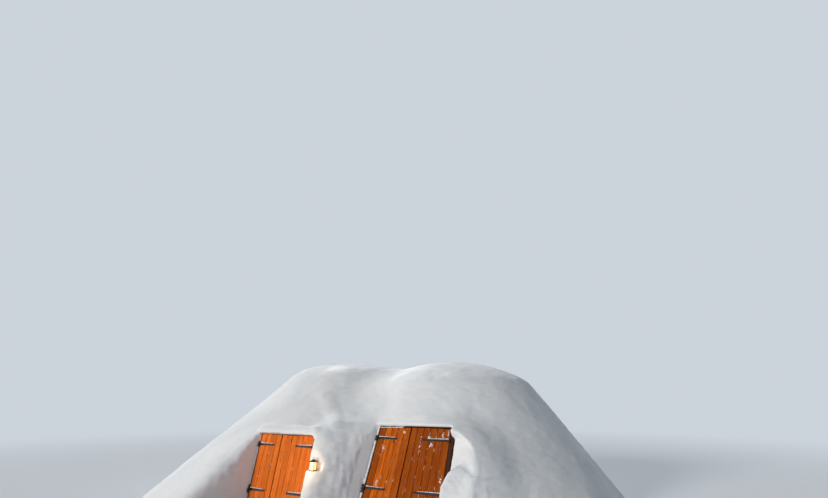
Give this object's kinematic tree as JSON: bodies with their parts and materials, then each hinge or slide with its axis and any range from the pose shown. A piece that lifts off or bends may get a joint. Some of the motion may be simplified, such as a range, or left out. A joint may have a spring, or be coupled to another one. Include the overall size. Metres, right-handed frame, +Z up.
{
  "type": "igloo",
  "caption": "Hollow twin-domed igloo of packed snow, with two doorways closed by pairs of hinged plank leaves.",
  "frame": {"origin": "on the ground under the middle of the mound's outline", "axes": "+Z up, the doorways face -Y, +X to the right of someone who faces the doors"},
  "size_m": [10.8031, 8.7359, 2.88],
  "materials": {
    "snow": "matte",
    "left_boards": "matte",
    "right_boards": "matte",
    "frame_timber": "matte",
    "black_iron": "matte",
    "lamp_glass": "gloss",
    "lamp_metal": "satin",
    "candle_wax": "satin"
  },
  "bodies": {
    "igloo": {"crown_left_back": "snow", "crown_left_front": "snow", "crown_right_back": "snow", "crown_right_front": "snow", "lamp_candle": "candle_wax", "lamp_frame": "lamp_metal", "lamp_glass": "lamp_glass", "left_door_head": "frame_timber", "left_door_left_pintles": "black_iron", "left_door_left_post": "frame_timber", "left_door_right_pintles": "black_iron", "left_door_right_post": "frame_timber", "left_door_sill": "frame_timber", "pier_between_doors": "snow", "right_door_head": "frame_timber", "right_door_left_pintles": "black_iron", "right_door_left_post": "frame_timber", "right_door_right_pintles": "black_iron", "right_door_right_post": "frame_timber", "right_door_sill": "frame_timber", "snow_heap": "snow", "snow_over_left_door": "snow", "snow_over_right_door": "snow", "wall_back_left": "snow", "wall_back_right": "snow", "wall_left_1": "snow", "wall_left_2": "snow", "wall_left_3": "snow", "wall_left_4": "snow", "wall_right_1": "snow", "wall_right_2": "snow", "wall_right_3": "snow", "wall_right_4": "snow"},
    "left_door_left_leaf": {"left_door_left_boards": "left_boards", "left_door_left_ledges": "left_boards", "left_door_left_straps": "black_iron"},
    "left_door_right_leaf": {"left_door_right_boards": "left_boards", "left_door_right_ledges": "left_boards", "left_door_right_straps": "black_iron"},
    "right_door_left_leaf": {"right_door_left_boards": "right_boards", "right_door_left_ledges": "right_boards", "right_door_left_straps": "black_iron"},
    "right_door_right_leaf": {"right_door_right_boards": "right_boards", "right_door_right_ledges": "right_boards", "right_door_right_straps": "black_iron"}
  },
  "joints": [
    {"name": "left_door_left_hinge", "type": "hinge", "parent": "igloo", "child": "left_door_left_leaf", "pos_m": [-1.1807, -2.88357, 0.70361], "axis": [0, -0.184, -0.9829], "range_deg": [0, 90]},
    {"name": "left_door_right_hinge", "type": "hinge", "parent": "igloo", "child": "left_door_right_leaf", "pos_m": [0.1853, -2.88357, 0.70361], "axis": [0, 0.184, 0.9829], "range_deg": [0, 90]},
    {"name": "right_door_left_hinge", "type": "hinge", "parent": "igloo", "child": "right_door_left_leaf", "pos_m": [1.2208, -2.37705, 0.81733], "axis": [0, -0.4633, -0.8862], "range_deg": [0, 90]},
    {"name": "right_door_right_hinge", "type": "hinge", "parent": "igloo", "child": "right_door_right_leaf", "pos_m": [2.7218, -2.37705, 0.81733], "axis": [0, 0.4633, 0.8862], "range_deg": [0, 90]}
  ]
}
